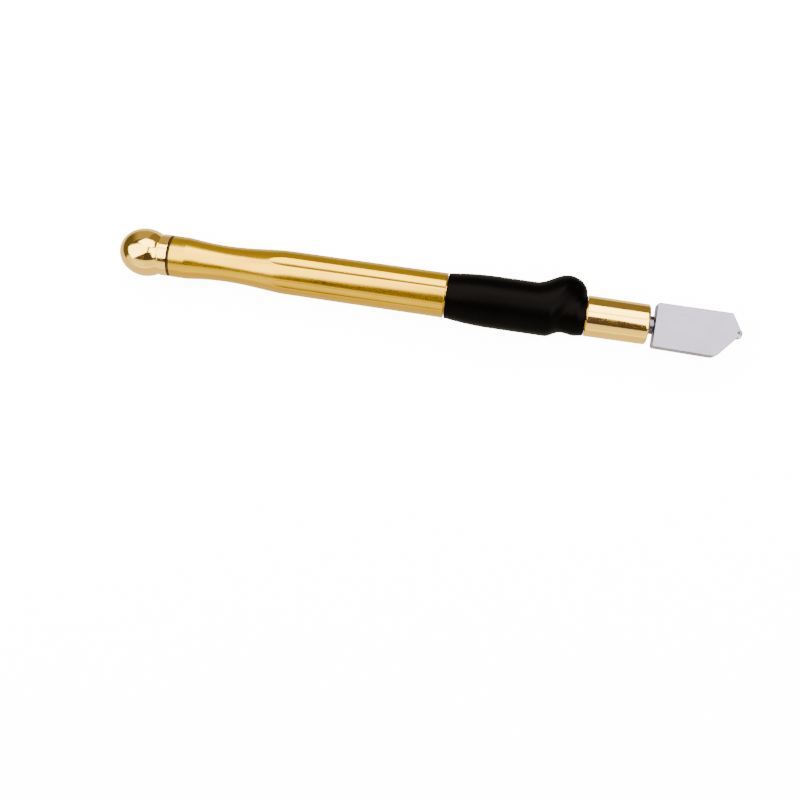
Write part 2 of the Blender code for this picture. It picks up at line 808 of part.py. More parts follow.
def head_plate(frame):
    plate = extruded("head_plate", plate_outline(), PLATE_THICKNESS, PARTS)
    place(plate, 0.0, frame)
    bevel = plate.modifiers.new("edges", "BEVEL")
    bevel.width = PLATE_EDGE_BEVEL * MM
    bevel.segments = 1
    bevel.limit_method = "ANGLE"
    bevel.angle_limit = math.radians(60)
    for cutter in plate_cutters(frame):
        cut(plate, cutter)
    apply_modifiers(plate)
    give(plate, satin_steel())


def wheel_axle(frame):
    half = PLATE_THICKNESS / 2 - FINE_GAP
    outline = [
        (-half, 0.0),
        (-half, AXLE_RADIUS),
        (half, AXLE_RADIUS),
        (half, 0.0),
    ]
    axle = turned("wheel_axle", outline, frame, TINY_STEPS, 0.0, turn=(0.0, 0.0, 0.0))
    place(axle, AXLE_STATION, frame, offset=AXLE_OFFSET)
    apply_modifiers(axle)
    give(axle, bright_steel("axle_steel"))


def cutting_wheel(frame):
    half = WHEEL_THICKNESS / 2
    rim = WHEEL_RADIUS - WHEEL_EDGE_HEIGHT
    bore = AXLE_HOLE_RADIUS
    outline = [
        (-half, rim),
        (0.0, WHEEL_RADIUS),
        (half, rim),
        (half, bore),
        (-half, bore),
    ]
    wheel = turned("cutting_wheel", outline, frame, LARGE_STEPS, 0.0, hollow=True, turn=(0.0, 0.0, 0.0))
    place(wheel, AXLE_STATION, frame, offset=AXLE_OFFSET)
    apply_modifiers(wheel)
    give(wheel, carbide())


def build():
    frame = make_frame()
    ball_cap(frame)
    cap_o_ring(frame)
    barrel(frame)
    grip_sleeve(frame)
    nose_collar(frame)
    seat_gasket(frame)
    valve_seat(frame)
    seat_o_ring(frame)
    check_ball(frame)
    push_pin(frame)
    valve_spring(frame)
    swivel_bush(frame)
    bush_snap_ring(frame)
    head_stem(frame)
    stem_o_ring(frame)
    stop_pin(frame)
    oil_wick(frame)
    head_plate(frame)
    wheel_axle(frame)
    cutting_wheel(frame)


build()
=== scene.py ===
import math

import bmesh
import bpy
from mathutils import Matrix, Vector


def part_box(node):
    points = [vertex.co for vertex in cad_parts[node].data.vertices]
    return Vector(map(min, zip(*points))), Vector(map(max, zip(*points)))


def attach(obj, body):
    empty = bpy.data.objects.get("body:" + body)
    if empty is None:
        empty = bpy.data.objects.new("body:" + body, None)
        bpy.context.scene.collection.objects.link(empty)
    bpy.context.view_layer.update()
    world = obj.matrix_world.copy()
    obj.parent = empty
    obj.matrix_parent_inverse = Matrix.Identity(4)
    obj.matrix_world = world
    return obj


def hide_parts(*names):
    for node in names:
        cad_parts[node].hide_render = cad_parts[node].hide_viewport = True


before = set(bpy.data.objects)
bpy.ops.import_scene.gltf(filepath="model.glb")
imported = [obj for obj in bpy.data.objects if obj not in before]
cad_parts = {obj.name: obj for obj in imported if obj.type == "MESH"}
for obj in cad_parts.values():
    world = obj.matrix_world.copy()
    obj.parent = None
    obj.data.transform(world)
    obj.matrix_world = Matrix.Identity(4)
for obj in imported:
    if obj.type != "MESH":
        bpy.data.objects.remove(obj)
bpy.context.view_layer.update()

# Stations along the tool are millimetres from the rear of the ball, and radii are
# millimetres from the tool's axis. Angles about the axis go from +Z towards +Y.

MM = 0.001
FULL_TURN = 2 * math.pi

COLLAR_LOW, COLLAR_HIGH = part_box("nose_collar")
BALL_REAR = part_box("ball_cap")[0].x
AXIS = Vector((
    BALL_REAR,
    (COLLAR_LOW.y + COLLAR_HIGH.y) / 2,
    (COLLAR_LOW.z + COLLAR_HIGH.z) / 2,
))


def station_of(x):
    return (x - BALL_REAR) / MM


def first_station(node):
    return station_of(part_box(node)[0].x)


def last_station(node):
    return station_of(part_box(node)[1].x)


def box_radius(node):
    low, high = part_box(node)
    return (high.y - low.y) / 2 / MM


# Roundness of the turned surfaces
COLUMNS = 144
SEAL_COLUMNS = 128
BUSH_COLUMNS = 96
CUTTER_COLUMNS = 64
FINE_CUTTER_COLUMNS = 32
CORNER_STEPS = 5
SMALL_CORNER = 0.08
GUARD_SHARE = 0.4
GUARD_LEAST = 0.01
CREASE_ANGLE = math.radians(35)
WELD = 1e-7
LARGEST_FACES_LEAD = 100

# Ball cap
BALL_HALF_LENGTH = 7.7
BALL_RADIUS = 6.93
BALL_STEPS = 56
NECK_GROOVE_RADIUS = 5.6
NECK_START = 12.6
NECK_RADIUS = 6.0
CAP_FACE = 15.1
RIM_CORNER = 0.03
THREAD_RADIUS = 4.0
THREAD_RELIEF_RADIUS = 3.6
THREAD_START = 16.4
SPIGOT_END = last_station("ball_cap")
SEAL_ORBIT = 5.3
SEAL_HALF_HEIGHT = 0.65
SEAL_FILL = 0.95
SEAL_STEPS = 24
THREAD_PITCH = 1.0
THREAD_DEPTH = 0.5
THREAD_RINGS_PER_PITCH = 12
SOCKET_THREAD_DEPTH = 0.2

# Barrel
BARREL_REAR = first_station("barrel")
BARREL_END = last_station("barrel")
REAR_RADIUS = 6.0
WAIST_START = 20.4
WAIST_START_SLOPE = -0.1
WAIST_STEPS = 34
CREASE_WIDTH = 0.1
REAR_STEPS = 8
MOUTH_LENGTH = 0.35
BARREL_FRONT_RADIUS = 6.52
BARREL_SHOULDER = 95.9
CORE_RADIUS = 4.8
CORE_END = 135.55
NOSE_THREAD_RADIUS = 3.9
FILL_SOCKET_RADIUS = 4.3
FILL_SOCKET_END = 22.9
RESERVOIR_RADIUS = 3.6
RESERVOIR_END = 128.0
THROAT_RADIUS = 1.5
THROAT_END = 129.5
VALVE_CHAMBER_RADIUS = 2.7

# Flutes milled along the barrel
FLUTE_COUNT = 6
FLUTE_FIRST_ANGLE = math.radians(20)
FLUTE_CUTTER_RADIUS = 4.0
FLUTE_START = 44.6
FLUTE_LEAD = 3
FLUTE_FULL = 52.0
FLUTE_START_STEPS = 64
FLUTE_STEPS = 60
FLUTE_START_RADIUS = 6.03
FLUTE_END_RADIUS = 6.25
FLUTE_EDGE_ANGLE = math.radians(1.1)
FLUTE_EDGE_BLEND = 0.05
FLUTE_LEAST_HALF_ANGLE = math.radians(4)

# Grip sleeve
GRIP_START = first_station("grip_sleeve")
GRIP_END = last_station("grip_sleeve")
GRIP_RADIUS = 7.5
HUMP_TOP = 10.7
GRIP_REAR_RADIUS = 6.45
GRIP_SWELL_LENGTH = 13.7
GRIP_BORE_RADIUS = 5.1
SADDLE_RADIUS = 5.81
FRONT_BEAD_RADIUS = 6.2
FRONT_BEAD = 133.3
FRONT_FALL = 0.9
HUMP_START = 120.9
HUMP_PEAK = 129.95
SHOULDER_END = 129.7
SHOULDER_LENGTH = 4.6
NOSE_END = 135.75
FOLD_CLIMB = 1.6
HUMP_NARROWING = 2.3
GRIP_COLUMNS = 192
BODY_STEPS = 30
HUMP_STEPS = 26
FOLD_STEPS = 28
NECK_STEPS = 18
LIP_LENGTH = 0.8
LIP_ROUNDING = 0.25

# Nose collar
COLLAR_REAR = first_station("nose_collar")
COLLAR_FRONT = last_station("nose_collar")
COLLAR_RADIUS = box_radius("nose_collar")
COLLAR_BORE_RADIUS = 4.2
COLLAR_FRONT_ROUNDING = 0.7
COLLAR_FRONT_RADIUS = 5.74
WEB_RADIUS = 3.0
WEB_REAR = 145.5
WEB_FRONT = 146.3
SWIVEL_CHAMBER_RADIUS = 4.5
RING_GROOVE_RADIUS = 4.85
RING_GROOVE_REAR = 152.35
RING_GROOVE_FRONT = 153.15

# Swivel bush, its ring and the head's stem
BUSH_REAR = first_station("swivel_bush")
BUSH_FRONT = last_station("swivel_bush")
BUSH_RADIUS = 4.2
BUSH_BORE_RADIUS = 2.9
NOTCH_HALF_ANGLE = math.radians(23.97)
NOTCH_RADIUS = 3.85
NOTCH_END = 150.4
NOTCH_COLUMNS = 20
RING_REAR = first_station("bush_snap_ring")
RING_FRONT = last_station("bush_snap_ring")
RING_OUTER_RADIUS = 4.7
RING_INNER_RADIUS = 3.6
RING_GAP_HALF_ANGLE = math.radians(9.7)
STEM_REAR = first_station("head_stem")
STEM_FRONT = last_station("head_stem")
FLANGE_REAR = 147.4
FLANGE_FRONT = 148.3
FLANGE_RADIUS = 3.9
STEM_RADIUS = 2.6
STEM_SHOULDER = 154.95
STEM_TIP_RADIUS = 1.6
STEM_NECK_RADIUS = 1.4
OIL_BORE_RADIUS = 1.0
OIL_JET_RADIUS = 0.4
SEAL_GROOVE_RADIUS = 1.9
SEAL_GROOVE_HALF_WIDTH = 0.53
SEAL_STATION = 150.6
PIN_HOLE_RADIUS = 0.5
PIN_HOLE_LENGTH = 4.0
PIN_ORBIT = 3.3

# Head plate, axle and wheel
PLATE_LOW, PLATE_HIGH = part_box("head_plate")
PLATE_REAR = first_station("head_plate")
PLATE_THICKNESS = (PLATE_HIGH.z - PLATE_LOW.z) / MM
PLATE_HALF_WIDTH = 6.3
PLATE_BEVEL = 0.26
PLATE_BEVEL_STEPS = 3
PLATE_BEVEL_ANGLE = math.radians(60)
PLATE_CORNER_STEPS = 12
PLATE_CORNERS = [
    (PLATE_REAR, -PLATE_HALF_WIDTH, 0.8),
    (172.95, -PLATE_HALF_WIDTH - 0.3, 2.0),
    (179.45, 0.95, 1.05),
    (176.15, PLATE_HALF_WIDTH, 0.4),
    (PLATE_REAR, PLATE_HALF_WIDTH, 0.7),
]
WHEEL_LOW, WHEEL_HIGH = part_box("cutting_wheel")
WHEEL_RADIUS = (WHEEL_HIGH.x - WHEEL_LOW.x) / 2 / MM
WHEEL_THICKNESS = (WHEEL_HIGH.z - WHEEL_LOW.z) / MM
AXLE_STATION = station_of((WHEEL_LOW.x + WHEEL_HIGH.x) / 2)
AXLE_OFFSET = 1.0
AXLE_RADIUS = 0.3
AXLE_HOLE_RADIUS = 0.4
AXLE_COLUMNS = 48
WHEEL_EDGE_HEIGHT = 0.36
WHEEL_SLOT_WIDTH = 1.5
WHEEL_SLOT_RADIUS = 2.1
STEM_SOCKET_RADIUS = 1.9
STEM_SOCKET_END = 160.8
OIL_CHANNEL_RADIUS = 0.5


# Camera: as the tool was photographed, from above its middle and a little to one side

CAMERA_PLACE = AXIS + Vector((113.0, -42.6, 327.0)) * MM
CAMERA_AIM = AXIS + Vector((87.6, -31.54, 0.0)) * MM
CAMERA_TILT = math.radians(8.81)
CAMERA_LENS = 51.71
CAMERA_CLIP_START = 0.01


def camera():
    data = bpy.data.cameras.new("camera")
    data.lens = CAMERA_LENS
    data.clip_start = CAMERA_CLIP_START
    back = (CAMERA_PLACE - CAMERA_AIM).normalized()
    hint = Vector((-math.sin(CAMERA_TILT), math.cos(CAMERA_TILT), 0.0))
    right = hint.cross(back).normalized()
    up = back.cross(right)
    made = bpy.data.objects.new("camera", data)
    turn = Matrix((right, up, back)).transposed().to_4x4()
    made.matrix_world = Matrix.Translation(CAMERA_PLACE) @ turn
    bpy.context.collection.objects.link(made)
    bpy.context.scene.camera = made


# Studio: a white floor, a bright tent with a slit at the camera, and a dim room

FLOOR_SIZE = 6.0
FLOOR_SHADE = (0.9, 0.9, 0.9, 1)
FLOOR_ROUGHNESS = 0.9
FLOOR_RADIANCE = 12.3
TENT_HEIGHT = 0.33
LEFT_RADIANCE = 8.5
TOP_RADIANCE = 10.0
RIGHT_RADIANCE = 9.0
APRON_RADIANCE = 1.6
APRON_PLACE = (0.0, -0.5, 0.21)
APRON_AIM = (0.0, 0.0, 0.1)
APRON_WIDTH = 2.4
APRON_HEIGHT = 0.42
LEFT_WALL = [
    (-0.85, 0.13), (-0.26, 0.18), (-0.13, 0.15), (-0.012, 0.125),
    (-0.012, -0.03), (-0.09, -0.1), (-0.574, -0.435), (-0.76, -0.23),
]
TOP_WALL = [
    (-0.295, 0.25), (-0.13, 0.54), (0.2, 0.56), (0.19, 0.215),
    (0.1, 0.13), (-0.012, 0.125), (-0.13, 0.15),
]
RIGHT_WALL = [
    (0.03, 0.1), (0.1, 0.108), (0.34, 0.225), (0.476, -0.229),
    (0.178, -0.2), (0.09, -0.035), (0.03, -0.035),
]
ROOM_DARK = (0.10, 0.088, 0.2)
ROOM_MIDDLE = (0.2, 0.17, 0.18)
ROOM_SIDE = (0.60, 0.57, 0.5)
ROOM_FRONT = (0.30, 0.275, 0.26)
ROOM_END = (0.16, 0.15, 0.14)
ROOM_TABLE = (1.5, 1.38, 1.1)
TABLE_LEAN = (0.0, 0.28, 1.0)
BACKDROP_RADIANCE = 16.0

# Where the room's tones meet, as a share of the way along an axis that a direction points

END_FADE = (-0.8, -0.45)
FRONT_FADE = (-0.02, 0.08)
TABLE_FADE = (-0.24, -0.16)
CEILING_REAR_FADE = (-0.24, -0.12)
CEILING_FRONT_FADE = (-0.03, 0.05)
CEILING_FADE = (0.45, 0.6)


def node_tree(owner):
    owner.use_nodes = True
    owner.node_tree.nodes.clear()
    return owner.node_tree.nodes, owner.node_tree.links


def smooth_ramp(nodes, links, value, start, end, low=0.0, high=1.0):
    """A smooth step from low to high as value goes from start to end."""
    made = nodes.new("ShaderNodeMapRange")
    made.interpolation_type = "SMOOTHSTEP"
    for socket, number in (("From Min", start), ("From Max", end), ("To Min", low), ("To Max", high)):
        made.inputs[socket].default_value = number
    links.new(value, made.inputs["Value"])
    return made.outputs["Result"]


def mix_colours(nodes, links, factor, first, second):
    """Mix two colours, each a tuple or another node's output."""
    made = nodes.new("ShaderNodeMix")
    made.data_type = "RGBA"
    links.new(factor, made.inputs["Factor"])
    for socket, value in ((made.inputs["A"], first), (made.inputs["B"], second)):
        if isinstance(value, tuple):
            socket.default_value = (*value, 1)
        else:
            links.new(value, socket)
    return made.outputs["Result"]


def emitter(name, radiance):
    made = bpy.data.materials.new(name)
    nodes, links = node_tree(made)
    glow = nodes.new("ShaderNodeEmission")
    glow.inputs["Strength"].default_value = radiance
    out = nodes.new("ShaderNodeOutputMaterial")
    links.new(glow.outputs[0], out.inputs["Surface"])
    return made


def tent_wall(name, corners, radiance):
    """A lit panel of the tent, seen only in reflections and as light."""
    mesh = bpy.data.meshes.new(name)
    height = AXIS.z + TENT_HEIGHT
    mesh.from_pydata([(x, AXIS.y + y, height) for x, y in corners], [], [range(len(corners))])
    mesh.materials.append(emitter(name, radiance))
    wall = bpy.data.objects.new(name, mesh)
    bpy.context.collection.objects.link(wall)
    wall.visible_camera = False
    wall.visible_shadow = False


def area_light(name, place, aim, width, height, radiance):
    data = bpy.data.lights.new(name, "AREA")
    data.shape = "RECTANGLE"
    data.size = width
    data.size_y = height
    data.energy = radiance * width * height * math.pi
    made = bpy.data.objects.new(name, data)
    made.location = place
    made.rotation_euler = (Vector(place) - Vector(aim)).to_track_quat("Z", "Y").to_euler()
    made.visible_camera = False
    bpy.context.collection.objects.link(made)


def floor():
    half = FLOOR_SIZE / 2
    mesh = bpy.data.meshes.new("floor")
    corners = [(-half, -half, 0), (half, -half, 0), (half, half, 0), (-half, half, 0)]
    mesh.from_pydata(corners, [], [(0, 1, 2, 3)])
    made = bpy.data.materials.new("white_table")
    nodes, links = node_tree(made)
    shader = nodes.new("ShaderNodeBsdfPrincipled")
    shader.inputs["Base Color"].default_value = FLOOR_SHADE
    shader.inputs["Roughness"].default_value = FLOOR_ROUGHNESS
    shader.inputs["Emission Color"].default_value = (1, 1, 1, 1)
    shader.inputs["Emission Strength"].default_value = FLOOR_RADIANCE
    out = nodes.new("ShaderNodeOutputMaterial")
    links.new(shader.outputs[0], out.inputs["Surface"])
    mesh.materials.append(made)
    table = bpy.data.objects.new("floor", mesh)
    bpy.context.collection.objects.link(table)
    table.visible_glossy = False


def room():
    """The world: pale behind the tool for the camera; in reflections, a dim room with a pale table."""
    world = bpy.data.worlds.new("room")
    bpy.context.scene.world = world
    nodes, links = node_tree(world)
    towards = nodes.new("ShaderNodeTexCoord").outputs["Generated"]
    split = nodes.new("ShaderNodeSeparateXYZ")
    links.new(towards, split.inputs[0])
    along, upwards = split.outputs["X"], split.outputs["Z"]
    leaning = nodes.new("ShaderNodeVectorMath")
    leaning.operation = "DOT_PRODUCT"
    leaning.inputs[1].default_value = TABLE_LEAN
    links.new(towards, leaning.inputs[0])

    def meet(value, edge, below, above):
        return mix_colours(nodes, links, smooth_ramp(nodes, links, value, *edge), below, above)

    rear = meet(along, END_FADE, ROOM_END, ROOM_SIDE)
    walls = meet(along, FRONT_FADE, rear, ROOM_FRONT)
    sides = meet(leaning.outputs["Value"], TABLE_FADE, ROOM_TABLE, walls)
    middle = meet(along, CEILING_REAR_FADE, ROOM_DARK, ROOM_MIDDLE)
    ceiling = meet(along, CEILING_FRONT_FADE, middle, ROOM_DARK)
    seen = meet(upwards, CEILING_FADE, sides, ceiling)
    glow = nodes.new("ShaderNodeBackground")
    links.new(seen, glow.inputs["Color"])
    backdrop = nodes.new("ShaderNodeBackground")
    backdrop.inputs["Strength"].default_value = BACKDROP_RADIANCE
    path = nodes.new("ShaderNodeLightPath")
    choose = nodes.new("ShaderNodeMixShader")
    links.new(path.outputs["Is Camera Ray"], choose.inputs["Fac"])
    links.new(glow.outputs[0], choose.inputs[1])
    links.new(backdrop.outputs[0], choose.inputs[2])
    out = nodes.new("ShaderNodeOutputWorld")
    links.new(choose.outputs[0], out.inputs["Surface"])


def studio():
    floor()
    room()
    tent_wall("tent_left", LEFT_WALL, LEFT_RADIANCE)
    tent_wall("tent_top", TOP_WALL, TOP_RADIANCE)
    tent_wall("tent_right", RIGHT_WALL, RIGHT_RADIANCE)
    area_light("apron", APRON_PLACE, APRON_AIM, APRON_WIDTH, APRON_HEIGHT, APRON_RADIANCE)


# Mesh helpers

def polar(station, radius, angle):
    """A world point from its station, its radius and its angle about the axis."""
    return AXIS + Vector((station, radius * math.sin(angle), radius * math.cos(angle))) * MM


def finish_mesh(name, body):
    bmesh.ops.remove_doubles(body, verts=body.verts, dist=WELD)
    bmesh.ops.dissolve_degenerate(body, edges=body.edges, dist=WELD)
    bmesh.ops.recalc_face_normals(body, faces=body.faces)
    mesh = bpy.data.meshes.new(name)
    body.to_mesh(mesh)
    body.free()
    mesh.shade_smooth()
    mesh.set_sharp_from_angle(angle=CREASE_ANGLE)
    thing = bpy.data.objects.new(name, mesh)
    bpy.context.collection.objects.link(thing)
    return thing


def loft(name, columns, ring=True, around=True):
    """Skin columns of world points. ring joins each column's end to its start, and
    around joins the last column to the first."""
    body = bmesh.new()
    grid = [[body.verts.new(point) for point in column] for column in columns]
    rows = len(grid[0])
    for i in range(len(grid) if around else len(grid) - 1):
        here, there = grid[i], grid[(i + 1) % len(grid)]
        for j in range(rows if ring else rows - 1):
            k = (j + 1) % rows
            body.faces.new((here[j], here[k], there[k], there[j]))
    if not around:
        body.faces.new(grid[0])
        body.faces.new(list(reversed(grid[-1])))
    return finish_mesh(name, body)


def lathe(name, outline, columns=COLUMNS, ring=True):
    """Turn an outline of (station, radius) points about the axis."""
    turns = [FULL_TURN * i / columns for i in range(columns)]
    return loft(name, [[polar(s, r, turn) for s, r in outline] for turn in turns], ring)


def arc(centre, radius, start, end, count):
    """Points on an arc; the centre is (x, y), and angles are in radians."""
    points = []
    for i in range(count + 1):
        angle = start + (end - start) * i / count
        points.append((centre[0] + radius * math.cos(angle), centre[1] + radius * math.sin(angle)))
    return points


def guard_point(corner, neighbour, direction, radius, tangent):
    """The point just past an arc's end, towards the next corner, if there is room for one."""
    room_left = math.dist(neighbour[:2], corner) - tangent
    spare = min(GUARD_SHARE * radius, GUARD_SHARE * room_left)
    if spare <= GUARD_LEAST:
        return []
    x, y = corner
    return [(x + (tangent + spare) * math.cos(direction), y + (tangent + spare) * math.sin(direction))]


def rounded(corners, steps=CORNER_STEPS, closed=True):
    """Turn (x, y) or (x, y, radius) corners into an outline whose corners are arcs.
    A close point on each side of an arc keeps the shading of long faces flat."""
    outline = []
    count = len(corners)
    for i, corner in enumerate(corners):
        x, y = corner[:2]
        radius = corner[2] if len(corner) > 2 else 0.0
        if radius == 0.0 or (not closed and i in (0, count - 1)):
            outline.append((x, y))
            continue
        before = corners[i - 1]
        after = corners[(i + 1) % count]
        to_before = math.atan2(before[1] - y, before[0] - x)
        to_after = math.atan2(after[1] - y, after[0] - x)
        between = (to_after - to_before + math.pi) % FULL_TURN - math.pi
        middle = to_before + between / 2
        reach = radius / abs(math.sin(between / 2))
        centre = (x + reach * math.cos(middle), y + reach * math.sin(middle))
        sweep = math.copysign(math.pi - abs(between), -between)
        first = middle + math.pi - sweep / 2
        tangent = radius / abs(math.tan(between / 2))
        outline += guard_point((x, y), before, to_before, radius, tangent)
        outline += arc(centre, radius, first, first + sweep, steps)
        outline += guard_point((x, y), after, to_after, radius, tangent)
    return outline


def smoothstep(value):
    value = min(max(value, 0.0), 1.0)
    return value * value * (3 - 2 * value)


def spread(start, end, count):
    """count stations from start, evenly spaced, without the end itself."""
    return [start + (end - start) * i / count for i in range(count)]


def replace(piece, body, slot, material, *nodes):
    piece.data.materials.clear()
    piece.data.materials.append(material)
    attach(piece, body)
    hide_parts(*nodes)


def cut(thing, cutter):
    """Cut with a boolean, apply it, and drop the cutter."""
    boolean = thing.modifiers.new("cut", "BOOLEAN")
    boolean.operation = "DIFFERENCE"
    boolean.solver = "EXACT"
    boolean.object = cutter
    bake(thing)
    bpy.data.objects.remove(cutter, do_unlink=True)


def apply_modifiers(thing):
    bpy.context.view_layer.update()
    evaluated = thing.evaluated_get(bpy.context.evaluated_depsgraph_get())
    mesh = bpy.data.meshes.new_from_object(evaluated)
    thing.modifiers.clear()
    thing.data = mesh
    return mesh


def bake(thing):
    """Apply the modifiers and shade the result anew."""
    mesh = apply_modifiers(thing)
    mesh.shade_smooth()
    mesh.set_sharp_from_angle(angle=CREASE_ANGLE)


def even_normals(thing):
    """Keep broad flat faces flat where they meet small rounded edges."""
    weigh = thing.modifiers.new("normals", "WEIGHTED_NORMAL")
    weigh.keep_sharp = True
    weigh.weight = LARGEST_FACES_LEAD
    apply_modifiers(thing)


def rod(name, centre, direction, radius, length, columns=CUTTER_COLUMNS):
    """A round cutter centred at a world point, along a direction."""
    body = bmesh.new()
    bmesh.ops.create_cone(
        body, cap_ends=True, segments=columns, radius1=radius * MM, radius2=radius * MM, depth=length * MM
    )
    turn = Vector(direction).to_track_quat("Z", "X").to_matrix().to_4x4()
    bmesh.ops.transform(body, matrix=Matrix.Translation(centre) @ turn, verts=body.verts)
    return finish_mesh(name, body)


# Materials

class Recipe:
    """A Principled material with helpers for the procedural nodes that feed it."""

    def __init__(self, name, metallic, **sockets):
        self.material = bpy.data.materials.new(name)
        self.nodes, self.links = node_tree(self.material)
        self.shader = self.nodes.new("ShaderNodeBsdfPrincipled")
        self.shader.inputs["Metallic"].default_value = metallic
        for socket, value in sockets.items():
            self.shader.inputs[socket.replace("_", " ")].default_value = value
        out = self.nodes.new("ShaderNodeOutputMaterial")
        self.links.new(self.shader.outputs[0], out.inputs["Surface"])
        self.coords = self.nodes.new("ShaderNodeTexCoord").outputs["Object"]

    def stretched(self, scale):
        mapping = self.nodes.new("ShaderNodeMapping")
        mapping.inputs["Scale"].default_value = scale
        self.links.new(self.coords, mapping.inputs["Vector"])
        return mapping.outputs[0]

    def noise(self, scale, detail=4.0, roughness=0.55):
        """Noise with a scale in cells per metre along each axis."""
        made = self.nodes.new("ShaderNodeTexNoise")
        made.inputs["Scale"].default_value = 1.0
        made.inputs["Detail"].default_value = detail
        made.inputs["Roughness"].default_value = roughness
        self.links.new(self.stretched(scale), made.inputs["Vector"])
        return made.outputs["Fac"]

    def ramp(self, value, low, high, start=0.3, end=0.7):
        return smooth_ramp(self.nodes, self.links, value, start, end, low, high)

    def blend(self, factor, first, second):
        return mix_colours(self.nodes, self.links, factor, first, second)

    def worn_edges(self):
        """1 on convex edges and 0 elsewhere."""
        shape = self.nodes.new("ShaderNodeNewGeometry")
        return self.ramp(shape.outputs["Pointiness"], 0.0, 1.0, 0.53, 0.62)

    def painted_side_shade(self):
        """1 where a flat piece's narrow edge faces turn away from its broad face, and 0 elsewhere; it
        masks the painted shade on those edge faces.
        """
        shape = self.nodes.new("ShaderNodeTexCoord")
        split = self.nodes.new("ShaderNodeSeparateXYZ")
        self.links.new(shape.outputs["Normal"], split.inputs[0])
        size = self.nodes.new("ShaderNodeMath")
        size.operation = "ABSOLUTE"
        self.links.new(split.outputs["Z"], size.inputs[0])
        inner = self.ramp(size.outputs[0], 0.0, 1.0, 0.05, 0.3)
        outer = self.ramp(size.outputs[0], 1.0, 0.0, 0.9, 0.995)
        both = self.nodes.new("ShaderNodeMath")
        both.operation = "MULTIPLY"
        self.links.new(inner, both.inputs[0])
        self.links.new(outer, both.inputs[1])
        return both.outputs[0]

    def colour(self, value):
        self.links.new(value, self.shader.inputs["Base Color"])

    def roughness(self, value):
        self.links.new(value, self.shader.inputs["Roughness"])

    def bump(self, height, distance):
        """Bump from a height of 0 to 1, where 1 stands for distance in metres."""
        made = self.nodes.new("ShaderNodeBump")
        made.inputs["Strength"].default_value = 1.0
        made.inputs["Distance"].default_value = distance
        self.links.new(height, made.inputs["Height"])
        self.links.new(made.outputs[0], self.shader.inputs["Normal"])


def gold_anodised():
    recipe = Recipe("gold_anodised", 1.0)
    cloud = recipe.noise((90, 160, 160), 3.0)
    tint = recipe.blend(recipe.ramp(cloud, 0.0, 1.0), (0.61, 0.336, 0.002), (0.66, 0.37, 0.004))
    recipe.colour(recipe.blend(recipe.worn_edges(), tint, (0.26, 0.135, 0.002)))
    streak = recipe.noise((40, 900, 900), 5.0)
    recipe.roughness(recipe.ramp(streak, 0.19, 0.25))
    lines = recipe.noise((2600, 60, 60), 3.0)
    recipe.bump(lines, 0.00000025)
    return recipe.material


def polished_brass():
    recipe = Recipe("polished_brass", 1.0)
    cloud = recipe.noise((120, 120, 120), 3.0)
    tint = recipe.blend(recipe.ramp(cloud, 0.0, 1.0), (0.97, 0.59, 0.07), (1.0, 0.63, 0.10))
    recipe.colour(recipe.blend(recipe.worn_edges(), tint, (1.0, 0.68, 0.18)))
    smudge = recipe.noise((260, 260, 260), 5.0)
    recipe.roughness(recipe.ramp(smudge, 0.07, 0.12))
    lines = recipe.noise((3200, 80, 80), 3.0)
    recipe.bump(lines, 0.0000002)
    return recipe.material


def valve_brass():
    recipe = Recipe("valve_brass", 1.0)
    cloud = recipe.noise((400, 400, 400), 3.0)
    recipe.colour(recipe.blend(recipe.ramp(cloud, 0.0, 1.0), (0.80, 0.45, 0.10), (0.92, 0.56, 0.18)))
    lines = recipe.noise((3000, 100, 100), 3.0)
    recipe.roughness(recipe.ramp(lines, 0.16, 0.30))
    recipe.bump(lines, 0.000003)
    return recipe.material


def grip_rubber():
    recipe = Recipe("grip_rubber", 0.0, Specular_IOR_Level=0.023, Specular_Tint=(1, 0.86, 0.75, 1))
    cloud = recipe.noise((70, 120, 120), 4.0)
    dark, pale = (0.00026, 0.00017, 0.00014), (0.00042, 0.0003, 0.00026)
    tint = recipe.blend(recipe.ramp(cloud, 0.0, 1.0), dark, pale)
    recipe.colour(recipe.blend(recipe.worn_edges(), tint, (0.0012, 0.001, 0.0009)))
    skin = recipe.noise((1500, 1500, 1500), 6.0, 0.65)
    recipe.roughness(recipe.ramp(skin, 0.30, 0.40))
    grain = recipe.noise((6500, 6500, 6500), 2.0)
    recipe.bump(grain, 0.000004)
    return recipe.material


def seal_rubber():
    recipe = Recipe("seal_rubber", 0.0, Specular_IOR_Level=0.06)
    cloud = recipe.noise((500, 500, 500), 4.0)
    dark, pale = (0.014, 0.0080, 0.0052), (0.020, 0.0120, 0.0080)
    recipe.colour(recipe.blend(recipe.ramp(cloud, 0.0, 1.0), dark, pale))
    recipe.roughness(recipe.ramp(cloud, 0.4, 0.6))
    grain = recipe.noise((5000, 5000, 5000), 2.0)
    recipe.bump(grain, 0.000004)
    return recipe.material


def bright_steel():
    recipe = Recipe("bright_steel", 1.0)
    cloud = recipe.noise((300, 300, 300), 4.0)
    tint = recipe.blend(recipe.ramp(cloud, 0.0, 1.0), (0.075, 0.068, 0.082), (0.12, 0.11, 0.13))
    recipe.colour(recipe.blend(recipe.worn_edges(), tint, (0.24, 0.22, 0.25)))
    lines = recipe.noise((4200, 120, 120), 4.0)
    recipe.roughness(recipe.ramp(lines, 0.14, 0.28))
    recipe.bump(lines, 0.000003)
    return recipe.material


def satin_steel():
    recipe = Recipe("satin_steel", 1.0)
    cloud = recipe.noise((90, 140, 140), 4.0)
    tint = recipe.blend(recipe.ramp(cloud, 0.0, 1.0), (0.222, 0.194, 0.24), (0.246, 0.214, 0.266))
    # Painted shade: the narrow edge faces get a darker tint, standing in for the dark band along the
    # plate's lower side.
    recipe.colour(recipe.blend(recipe.painted_side_shade(), tint, (0.16, 0.148, 0.195)))
    brushed = recipe.noise((350, 5200, 900), 5.0, 0.6)
    recipe.roughness(recipe.ramp(brushed, 0.34, 0.48))
    recipe.bump(brushed, 0.000003)
    return recipe.material


